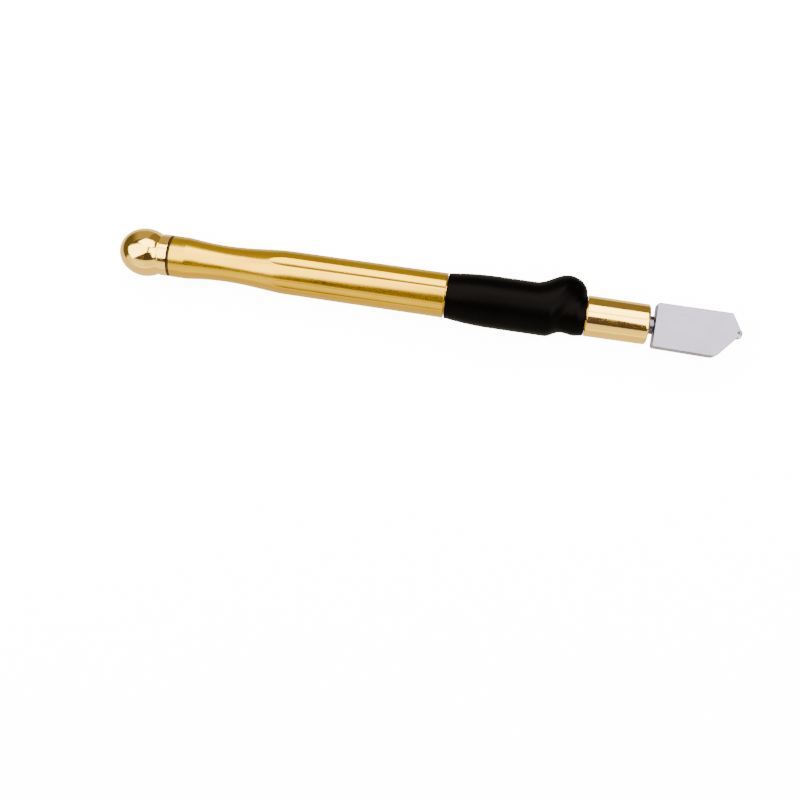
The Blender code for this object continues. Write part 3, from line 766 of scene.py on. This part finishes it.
def axle_shade_steel():
    # Near-black steel for the axle: painted shade, making the axle read as the dark dot at the axle's
    # hole.
    recipe = Recipe("axle_shade_steel", 1.0)
    cloud = recipe.noise((900, 900, 900), 4.0)
    tint = recipe.blend(recipe.ramp(cloud, 0.0, 1.0), (0.018, 0.017, 0.02), (0.032, 0.03, 0.035))
    recipe.colour(recipe.blend(recipe.worn_edges(), tint, (0.08, 0.078, 0.085)))
    recipe.roughness(recipe.ramp(cloud, 0.3, 0.45))
    recipe.bump(cloud, 0.000002)
    return recipe.material


def carbide():
    recipe = Recipe("carbide", 1.0)
    cloud = recipe.noise((2500, 2500, 2500), 4.0)
    tint = recipe.blend(recipe.ramp(cloud, 0.0, 1.0), (0.20, 0.20, 0.21), (0.30, 0.30, 0.32))
    recipe.colour(recipe.blend(recipe.worn_edges(), tint, (0.5, 0.5, 0.52)))
    recipe.roughness(recipe.ramp(cloud, 0.2, 0.34))
    recipe.bump(cloud, 0.000001)
    return recipe.material


def wick_felt():
    recipe = Recipe("wick_felt", 0.0)
    fibres = recipe.noise((900, 6000, 6000), 6.0, 0.7)
    recipe.colour(recipe.blend(recipe.ramp(fibres, 0.0, 1.0), (0.42, 0.36, 0.24), (0.74, 0.69, 0.55)))
    recipe.roughness(recipe.ramp(fibres, 0.85, 1.0))
    recipe.bump(fibres, 0.00004)
    return recipe.material


FINISHES = {
    "gold_anodised": gold_anodised(),
    "polished_brass": polished_brass(),
    "valve_brass": valve_brass(),
    "grip_rubber": grip_rubber(),
    "seal_rubber": seal_rubber(),
    "bright_steel": bright_steel(),
    "satin_steel": satin_steel(),
    "axle_shade_steel": axle_shade_steel(),
    "carbide": carbide(),
    "felt": wick_felt(),
}


# Ball cap and its seal

def thread_height(station, angle):
    """0 in the root and 1 on the crest of a right-hand thread."""
    turns = station / THREAD_PITCH + angle / FULL_TURN
    return smoothstep(1.5 * (1 - abs(2 * (turns % 1.0) - 1)) - 0.25)


def male_thread(start, end, angle):
    """The spigot's thread, which fades out into its relief and its lead-in."""
    points = []
    count = round((end - start) / THREAD_PITCH * THREAD_RINGS_PER_PITCH)
    for i in range(count + 1):
        station = start + (end - start) * i / count
        run_in = smoothstep((station - start) / THREAD_PITCH * 2)
        run_out = smoothstep((end - station) / THREAD_PITCH * 2)
        height = THREAD_DEPTH * thread_height(station, angle) * run_in * run_out
        points.append((station, THREAD_RADIUS - THREAD_DEPTH + height))
    return points


def ball_profile():
    neck_angle = math.asin(NECK_GROOVE_RADIUS / BALL_RADIUS)
    ball = arc((0.0, 0.0), 1.0, math.pi, neck_angle, BALL_STEPS)
    outline = [(BALL_HALF_LENGTH * (1 + x), max(0.0, BALL_RADIUS * y)) for x, y in ball]
    outline[0] = (0.0, 0.0)
    neck = [
        outline.pop(),
        (NECK_START - 0.12, NECK_GROOVE_RADIUS, 0.1),
        (NECK_START - 0.02, NECK_RADIUS, 0.12),
        (CAP_FACE, NECK_RADIUS, RIM_CORNER),
        (CAP_FACE, THREAD_RELIEF_RADIUS, 0.1),
        (THREAD_START - 0.25, THREAD_RELIEF_RADIUS, 0.05),
        (THREAD_START, THREAD_RADIUS - THREAD_DEPTH),
    ]
    return outline + rounded(neck, closed=False)


def ball_cap():
    body = ball_profile()
    columns = []
    for i in range(COLUMNS):
        angle = FULL_TURN * i / COLUMNS
        outline = body + male_thread(THREAD_START, SPIGOT_END - 0.1, angle)[1:]
        outline += [(SPIGOT_END, THREAD_RADIUS - THREAD_DEPTH - 0.15), (SPIGOT_END, 0.0)]
        columns.append([polar(s, r, angle) for s, r in outline])
    piece = loft("ball_cap_turned", columns, ring=False)
    replace(piece, "cap", "polished_brass", FINISHES["polished_brass"], "ball_cap")


def cap_o_ring():
    half_gap = (BARREL_REAR - CAP_FACE) / 2
    section = arc((0.0, 0.0), 1.0, math.pi, -math.pi, SEAL_STEPS)[:-1]
    outline = [
        (CAP_FACE + half_gap * (1 + SEAL_FILL * x), SEAL_ORBIT + SEAL_HALF_HEIGHT * y)
        for x, y in section
    ]
    piece = lathe("cap_o_ring_moulded", outline, SEAL_COLUMNS)
    replace(piece, "cap_seal", "seal_rubber", FINISHES["seal_rubber"], "cap_o_ring")


# Barrel

WAIST_KNOTS = [
    (WAIST_START, REAR_RADIUS),
    (25.3, 5.48),
    (31.5, 5.2),
    (38.0, 5.43),
    (43.8, 5.93),
    (48.5, 6.36),
    (54.0, 6.43),
]


def waist_radius(station):
    """The barrel's radius before the flutes are cut."""
    knots = WAIST_KNOTS
    if station <= knots[0][0]:
        return REAR_RADIUS
    if station >= knots[-1][0]:
        slow = (station - knots[-1][0]) / (BARREL_SHOULDER - knots[-1][0])
        return knots[-1][1] + (BARREL_FRONT_RADIUS - knots[-1][1]) * slow
    i = max(j for j in range(len(knots)) if knots[j][0] <= station)
    slopes = []
    for j in (i, i + 1):
        behind = knots[max(j - 1, 0)]
        ahead = knots[min(j + 1, len(knots) - 1)]
        slopes.append(WAIST_START_SLOPE if j == 0 else (ahead[1] - behind[1]) / (ahead[0] - behind[0]))
    (s0, r0), (s1, r1) = knots[i], knots[i + 1]
    length = s1 - s0
    t = (station - s0) / length
    rise = (2 * t**3 - 3 * t**2 + 1) * r0 + (3 * t**2 - 2 * t**3) * r1
    bend = (t**3 - 2 * t**2 + t) * slopes[0] + (t**3 - t**2) * slopes[1]
    return rise + bend * length


def flute_floor(station):
    """Radius of the deepest line of a flute, which leans with the barrel's taper."""
    along = (station - FLUTE_START) / (GRIP_START - FLUTE_START)
    return FLUTE_START_RADIUS + (FLUTE_END_RADIUS - FLUTE_START_RADIUS) * along


def flute_half_angle(station):
    """Half the angle that a flute spans, never less than the least half angle."""
    radius = waist_radius(station)
    centre = flute_floor(station) + FLUTE_CUTTER_RADIUS
    cosine = (radius**2 + centre**2 - FLUTE_CUTTER_RADIUS**2) / (2 * radius * centre)
    if cosine >= 1.0:
        return FLUTE_LEAST_HALF_ANGLE
    return max(FLUTE_LEAST_HALF_ANGLE, math.acos(cosine))


def fluted_radius(station, from_flute):
    """The barrel's radius at an angle from the nearest flute's middle."""
    radius = waist_radius(station)
    centre = flute_floor(station) + FLUTE_CUTTER_RADIUS
    inside = FLUTE_CUTTER_RADIUS**2 - (centre * math.sin(from_flute)) ** 2
    if station < FLUTE_START - 2 * FLUTE_LEAD or inside <= 0:
        return radius
    floor_radius = centre * math.cos(from_flute) - math.sqrt(inside)
    overlap = max(FLUTE_EDGE_BLEND - abs(radius - floor_radius), 0.0) / FLUTE_EDGE_BLEND
    return min(radius, floor_radius) - overlap**2 * FLUTE_EDGE_BLEND / 4


def flute_columns():
    """(flute's angle, side, kind, share) for each column: kind 0 lies in the flute, 1 on its
    edge and 2 between flutes."""
    half = [(0, share) for share in (0.0, 0.2, 0.4, 0.6, 0.8)]
    half += [(1, share) for share in (-1.0, -0.5, 0.0, 0.5, 1.0)]
    half += [(2, share) for share in (0.2, 0.4, 0.6, 0.8, 1.0)]
    columns = []
    for i in range(FLUTE_COUNT):
        middle = FLUTE_FIRST_ANGLE + i * FULL_TURN / FLUTE_COUNT
        mirrored = [(middle, -1, kind, share) for kind, share in reversed(half[1:-1])]
        columns += mirrored + [(middle, 1, kind, share) for kind, share in half]
    return columns


def column_angle(kind, share, half_angle):
    """How far from its flute's middle a column lies where the flute spans half_angle."""
    inner = half_angle - FLUTE_EDGE_ANGLE
    outer = half_angle + FLUTE_EDGE_ANGLE
    if kind == 0:
        return share * inner
    if kind == 1:
        return half_angle + share * FLUTE_EDGE_ANGLE
    return outer + share * (FULL_TURN / FLUTE_COUNT / 2 - outer)


def barrel_stations():
    shoulder = BARREL_SHOULDER - MOUTH_LENGTH
    stations = spread(BARREL_REAR + MOUTH_LENGTH, WAIST_START - CREASE_WIDTH, REAR_STEPS)
    stations += [WAIST_START - CREASE_WIDTH, WAIST_START]
    stations += spread(WAIST_START + CREASE_WIDTH, FLUTE_START - FLUTE_LEAD, WAIST_STEPS)
    stations += spread(FLUTE_START - FLUTE_LEAD, FLUTE_FULL, FLUTE_START_STEPS)
    stations += spread(FLUTE_FULL, shoulder, FLUTE_STEPS)
    stations.append(shoulder)
    return stations


def female_thread(angle):
    """The filler's thread, from its inner end to the barrel's mouth."""
    points = []
    start, end = FILL_SOCKET_END - 0.3, BARREL_REAR + 0.6
    count = round((start - end) / THREAD_PITCH * THREAD_RINGS_PER_PITCH)
    for i in range(count + 1):
        station = start + (end - start) * i / count
        fade = smoothstep((station - end) / THREAD_PITCH * 2)
        depth = SOCKET_THREAD_DEPTH * (1 - thread_height(station, angle)) * fade
        points.append((station, FILL_SOCKET_RADIUS - depth))
    return points


def barrel():
    shoulder = rounded([
        (BARREL_SHOULDER - 0.3, BARREL_FRONT_RADIUS),
        (BARREL_SHOULDER, BARREL_FRONT_RADIUS, 0.15),
        (BARREL_SHOULDER, CORE_RADIUS),
        (CORE_END, CORE_RADIUS, 0.1),
        (CORE_END, NOSE_THREAD_RADIUS),
        (BARREL_END - 0.4, NOSE_THREAD_RADIUS),
        (BARREL_END, NOSE_THREAD_RADIUS - 0.4),
        (BARREL_END, VALVE_CHAMBER_RADIUS),
        (THROAT_END, VALVE_CHAMBER_RADIUS),
        (THROAT_END, THROAT_RADIUS),
        (RESERVOIR_END, THROAT_RADIUS),
        (RESERVOIR_END, RESERVOIR_RADIUS),
        (FILL_SOCKET_END, RESERVOIR_RADIUS),
        (FILL_SOCKET_END, FILL_SOCKET_RADIUS),
    ], closed=False)
    mouth = rounded([
        (BARREL_REAR + 0.6, FILL_SOCKET_RADIUS),
        (BARREL_REAR, FILL_SOCKET_RADIUS, 0.1),
        (BARREL_REAR, REAR_RADIUS, RIM_CORNER),
        (BARREL_REAR + MOUTH_LENGTH, REAR_RADIUS),
    ], closed=False)
    columns = []
    for middle, side, kind, share in flute_columns():
        points = []
        for station in barrel_stations():
            from_flute = column_angle(kind, share, flute_half_angle(station))
            points.append(polar(station, fluted_radius(station, from_flute), middle + side * from_flute))
        angle = middle + side * column_angle(kind, share, flute_half_angle(BARREL_SHOULDER))
        front_drop = BARREL_FRONT_RADIUS - fluted_radius(BARREL_SHOULDER - 0.3, angle - middle)
        for station, radius in shoulder:
            drop = front_drop if radius > CORE_RADIUS + 0.2 else 0.0
            points.append(polar(station, radius - drop, angle))
        rear_angle = middle + side * column_angle(kind, share, flute_half_angle(BARREL_REAR))
        points += [polar(s, r, rear_angle) for s, r in female_thread(rear_angle)]
        points += [polar(s, r, rear_angle) for s, r in mouth[1:-1]]
        columns.append(points)
    piece = loft("barrel_fluted", columns)
    replace(piece, "handle", "gold_anodised", FINISHES["gold_anodised"], "barrel")


# Grip sleeve

def fold_reach(up):
    """How far the fold's front has moved from the shoulder's end to the nose, 0 to 1."""
    return max(0.0, (up + 0.5) / 1.5) ** FOLD_CLIMB


def neck_radius(station):
    rise = smoothstep((station - SHOULDER_END) / (FRONT_BEAD - SHOULDER_END))
    fall = smoothstep((station - FRONT_BEAD) / (GRIP_END - FRONT_BEAD))
    return SADDLE_RADIUS + (FRONT_BEAD_RADIUS - SADDLE_RADIUS) * (rise - fall * FRONT_FALL)


def sleeve_radius(station, up):
    unswollen = max(0.0, 1 - (station - GRIP_START) / GRIP_SWELL_LENGTH) ** 2
    hump = smoothstep((station - HUMP_START) / (HUMP_PEAK - HUMP_START))
    body = GRIP_RADIUS - (GRIP_RADIUS - GRIP_REAR_RADIUS) * unswollen
    return body + (HUMP_TOP - GRIP_RADIUS) * hump * max(0.0, up) ** HUMP_NARROWING


def grip_column(angle):
    """The sleeve's outer (station, radius) points at one angle."""
    up = math.sin(angle)
    reach = fold_reach(up)
    fold_end = SHOULDER_END + (NOSE_END - SHOULDER_END) * reach
    fold_length = SHOULDER_LENGTH + (NOSE_END - HUMP_PEAK - SHOULDER_LENGTH) * reach
    fold_start = fold_end - fold_length
    rear = sleeve_radius(GRIP_START + 0.6, up)
    lip = rounded([
        (GRIP_START, GRIP_BORE_RADIUS + 0.3),
        (GRIP_START, rear - 0.02, 0.45),
        (GRIP_START + LIP_LENGTH, sleeve_radius(GRIP_START + LIP_LENGTH, up)),
    ], closed=False)
    points = lip[1:-1]
    points += [(s, sleeve_radius(s, up)) for s in spread(GRIP_START + LIP_LENGTH, HUMP_START, BODY_STEPS)]
    points += [(s, sleeve_radius(s, up)) for s in spread(HUMP_START, fold_start, HUMP_STEPS)]
    top = sleeve_radius(fold_start, up)
    base = neck_radius(fold_end)
    for i in range(FOLD_STEPS + 1):
        turn = math.pi / 2 * i / FOLD_STEPS
        along = math.sin(turn)
        slope = 1 - smoothstep(along)
        height = slope + (math.cos(turn) - slope) * reach**2
        points.append((fold_start + fold_length * along, base + (top - base) * height))
    neck_end = GRIP_END - LIP_ROUNDING
    for i in range(1, NECK_STEPS + 1):
        station = fold_end + max(neck_end - fold_end, 0.0) * i / NECK_STEPS
        points.append((station, neck_radius(station)))
    end_radius = neck_radius(neck_end)
    lip_centre = (max(neck_end, fold_end), end_radius - LIP_ROUNDING)
    points += arc(lip_centre, GRIP_END - lip_centre[0], math.pi / 2, 0.0, 4)[1:]
    return points


def grip_sleeve():
    columns = []
    for i in range(GRIP_COLUMNS):
        angle = FULL_TURN * i / GRIP_COLUMNS
        outline = grip_column(angle)
        outline += [(GRIP_END, GRIP_BORE_RADIUS), (GRIP_START, GRIP_BORE_RADIUS)]
        columns.append([polar(s, r, angle) for s, r in outline])
    piece = loft("grip_sleeve_moulded", columns)
    replace(piece, "handle", "grip_rubber", FINISHES["grip_rubber"], "grip_sleeve")


# Nose collar, swivel bush and ring

def nose_collar():
    outline = rounded([
        (COLLAR_REAR, COLLAR_RADIUS, 0.12),
        (COLLAR_FRONT, COLLAR_FRONT_RADIUS, COLLAR_FRONT_ROUNDING),
        (COLLAR_FRONT, SWIVEL_CHAMBER_RADIUS, SMALL_CORNER),
        (RING_GROOVE_FRONT, SWIVEL_CHAMBER_RADIUS),
        (RING_GROOVE_FRONT, RING_GROOVE_RADIUS),
        (RING_GROOVE_REAR, RING_GROOVE_RADIUS),
        (RING_GROOVE_REAR, SWIVEL_CHAMBER_RADIUS),
        (WEB_FRONT, SWIVEL_CHAMBER_RADIUS),
        (WEB_FRONT, WEB_RADIUS),
        (WEB_REAR, WEB_RADIUS),
        (WEB_REAR, COLLAR_BORE_RADIUS),
        (COLLAR_REAR, COLLAR_BORE_RADIUS, 0.1),
    ])
    piece = lathe("nose_collar_turned", outline)
    replace(piece, "handle", "polished_brass", FINISHES["polished_brass"], "nose_collar")


def swivel_bush():
    """A bush whose notch is an arc on its far side, for the stop pin."""
    plain = [
        (BUSH_REAR, BUSH_RADIUS), (BUSH_FRONT - 0.1, BUSH_RADIUS), (BUSH_FRONT, BUSH_RADIUS - 0.1),
        (BUSH_FRONT, BUSH_BORE_RADIUS), (NOTCH_END, BUSH_BORE_RADIUS),
    ]
    solid_end = [(NOTCH_END, BUSH_BORE_RADIUS), (BUSH_REAR, BUSH_BORE_RADIUS)]
    notch_end = [(NOTCH_END, NOTCH_RADIUS), (BUSH_REAR, NOTCH_RADIUS)]
    low, high = math.pi - NOTCH_HALF_ANGLE, math.pi + NOTCH_HALF_ANGLE
    columns = []
    for angle in spread(high - FULL_TURN, low, BUSH_COLUMNS) + [low]:
        columns.append([polar(s, r, angle) for s, r in plain + solid_end])
    for angle in spread(low, high, NOTCH_COLUMNS) + [high]:
        columns.append([polar(s, r, angle) for s, r in plain + notch_end])
    piece = loft("swivel_bush_turned", columns)
    replace(piece, "handle", "polished_brass", FINISHES["valve_brass"], "swivel_bush")


def bush_snap_ring():
    """An open ring whose gap faces the hump's side."""
    outline = rounded([
        (RING_REAR, RING_OUTER_RADIUS, SMALL_CORNER),
        (RING_FRONT, RING_OUTER_RADIUS, SMALL_CORNER),
        (RING_FRONT, RING_INNER_RADIUS, SMALL_CORNER),
        (RING_REAR, RING_INNER_RADIUS, SMALL_CORNER),
    ], 2)
    start = math.pi / 2 + RING_GAP_HALF_ANGLE
    end = math.pi / 2 - RING_GAP_HALF_ANGLE + FULL_TURN
    angles = spread(start, end, BUSH_COLUMNS) + [end]
    columns = [[polar(s, r, a) for s, r in outline] for a in angles]
    piece = loft("bush_snap_ring_sprung", columns, around=False)
    replace(piece, "handle", "bright_steel", FINISHES["bright_steel"], "bush_snap_ring")


# Head: stem, plate, axle and wheel

def head_stem():
    groove_rear = SEAL_STATION - SEAL_GROOVE_HALF_WIDTH
    groove_front = SEAL_STATION + SEAL_GROOVE_HALF_WIDTH
    outline = rounded([
        (STEM_REAR, STEM_NECK_RADIUS, 0.1),
        (FLANGE_REAR, STEM_NECK_RADIUS),
        (FLANGE_REAR, FLANGE_RADIUS, SMALL_CORNER),
        (FLANGE_FRONT, FLANGE_RADIUS, SMALL_CORNER),
        (FLANGE_FRONT, STEM_RADIUS),
        (groove_rear, STEM_RADIUS),
        (groove_rear, SEAL_GROOVE_RADIUS),
        (groove_front, SEAL_GROOVE_RADIUS),
        (groove_front, STEM_RADIUS),
        (STEM_SHOULDER, STEM_RADIUS, 0.12),
        (STEM_SHOULDER, STEM_TIP_RADIUS),
        (STEM_FRONT, STEM_TIP_RADIUS, 0.1),
        (STEM_FRONT, OIL_BORE_RADIUS),
        (FLANGE_FRONT + 0.6, OIL_BORE_RADIUS),
        (FLANGE_FRONT, OIL_JET_RADIUS),
        (STEM_REAR, OIL_JET_RADIUS),
    ])
    piece = lathe("head_stem_turned", outline, BUSH_COLUMNS)
    hole = AXIS + Vector((FLANGE_FRONT, 0.0, -PIN_ORBIT)) * MM
    cut(piece, rod("pin_hole", hole, (1, 0, 0), PIN_HOLE_RADIUS, PIN_HOLE_LENGTH, FINE_CUTTER_COLUMNS))
    replace(piece, "head", "bright_steel", FINISHES["bright_steel"], "head_stem")


def head_plate():
    body = bmesh.new()
    lower = AXIS.z - PLATE_THICKNESS / 2 * MM
    outline = rounded(PLATE_CORNERS, PLATE_CORNER_STEPS)
    ring = [body.verts.new((AXIS.x + s * MM, AXIS.y + y * MM, lower)) for s, y in outline]
    face = body.faces.new(ring)
    grown = bmesh.ops.extrude_face_region(body, geom=[face])
    top = [v for v in grown["geom"] if isinstance(v, bmesh.types.BMVert)]
    bmesh.ops.translate(body, verts=top, vec=(0.0, 0.0, PLATE_THICKNESS * MM))
    piece = finish_mesh("head_plate_milled", body)
    bevel = piece.modifiers.new("edges", "BEVEL")
    bevel.width = PLATE_BEVEL * MM
    bevel.segments = PLATE_BEVEL_STEPS
    bevel.limit_method = "ANGLE"
    bevel.angle_limit = PLATE_BEVEL_ANGLE
    bake(piece)
    axle = AXIS + Vector((AXLE_STATION, AXLE_OFFSET, 0.0)) * MM
    socket_start = PLATE_REAR - 2
    socket_middle = AXIS + Vector(((socket_start + STEM_SOCKET_END) / 2, 0.0, 0.0)) * MM
    channel_end = AXLE_STATION - WHEEL_RADIUS
    channel_middle = AXIS + Vector(((STEM_SOCKET_END + channel_end) / 2, 0.0, 0.0)) * MM
    channel_length = channel_end - STEM_SOCKET_END + 2
    along = (1, 0, 0)
    square = (0, 0, 1)
    cut(piece, rod("socket", socket_middle, along, STEM_SOCKET_RADIUS, STEM_SOCKET_END - socket_start))
    cut(piece, rod("slot", axle, square, WHEEL_SLOT_RADIUS, WHEEL_SLOT_WIDTH))
    fine = FINE_CUTTER_COLUMNS
    cut(piece, rod("channel", channel_middle, along, OIL_CHANNEL_RADIUS, channel_length, fine))
    cut(piece, rod("axle_hole", axle, square, AXLE_HOLE_RADIUS, 2 * PLATE_THICKNESS, fine))
    even_normals(piece)
    replace(piece, "head", "satin_steel", FINISHES["satin_steel"], "head_plate")


def across_lathe(name, outline, columns, ring):
    """Turn an outline of (height, radius) points about the wheel's axis."""
    centre = AXIS + Vector((AXLE_STATION, AXLE_OFFSET, 0.0)) * MM
    grid = []
    for i in range(columns):
        angle = FULL_TURN * i / columns
        across, up = math.cos(angle), math.sin(angle)
        grid.append([centre + Vector((r * across, r * up, h)) * MM for h, r in outline])
    return loft(name, grid, ring)


def wheel_axle():
    half = (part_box("wheel_axle")[1].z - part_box("wheel_axle")[0].z) / 2 / MM
    outline = rounded([
        (-half, 0.0), (-half, AXLE_RADIUS, SMALL_CORNER), (half, AXLE_RADIUS, SMALL_CORNER), (half, 0.0)
    ], closed=False)
    piece = across_lathe("wheel_axle_ground", outline, AXLE_COLUMNS, ring=False)
    # The axle takes the near-black steel instead of bright steel: painted shade for the dark dot at the
    # axle.
    replace(piece, "head", "bright_steel", FINISHES["axle_shade_steel"], "wheel_axle")


def cutting_wheel():
    half = WHEEL_THICKNESS / 2
    rim = WHEEL_RADIUS - WHEEL_EDGE_HEIGHT
    outline = rounded([
        (-half, rim, 0.03), (0.0, WHEEL_RADIUS, 0.01), (half, rim, 0.03),
        (half, AXLE_HOLE_RADIUS, 0.05), (-half, AXLE_HOLE_RADIUS, 0.05),
    ], 3)
    piece = across_lathe("cutting_wheel_ground", outline, BUSH_COLUMNS, ring=True)
    replace(piece, "wheel", "carbide", FINISHES["carbide"], "cutting_wheel")


# Inner pieces that keep their CAD shape

CARRIED = {
    "seat_gasket": "seal_rubber",
    "valve_seat": "valve_brass",
    "seat_o_ring": "seal_rubber",
    "check_ball": "bright_steel",
    "push_pin": "bright_steel",
    "valve_spring": "bright_steel",
    "stem_o_ring": "seal_rubber",
    "stop_pin": "bright_steel",
    "oil_wick": "felt",
}


def finish_carried():
    for name, finish in CARRIED.items():
        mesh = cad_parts[name].data
        for i in range(len(mesh.materials)):
            mesh.materials[i] = FINISHES[finish]


camera()
studio()
ball_cap()
cap_o_ring()
barrel()
grip_sleeve()
nose_collar()
swivel_bush()
bush_snap_ring()
head_stem()
head_plate()
wheel_axle()
cutting_wheel()
finish_carried()
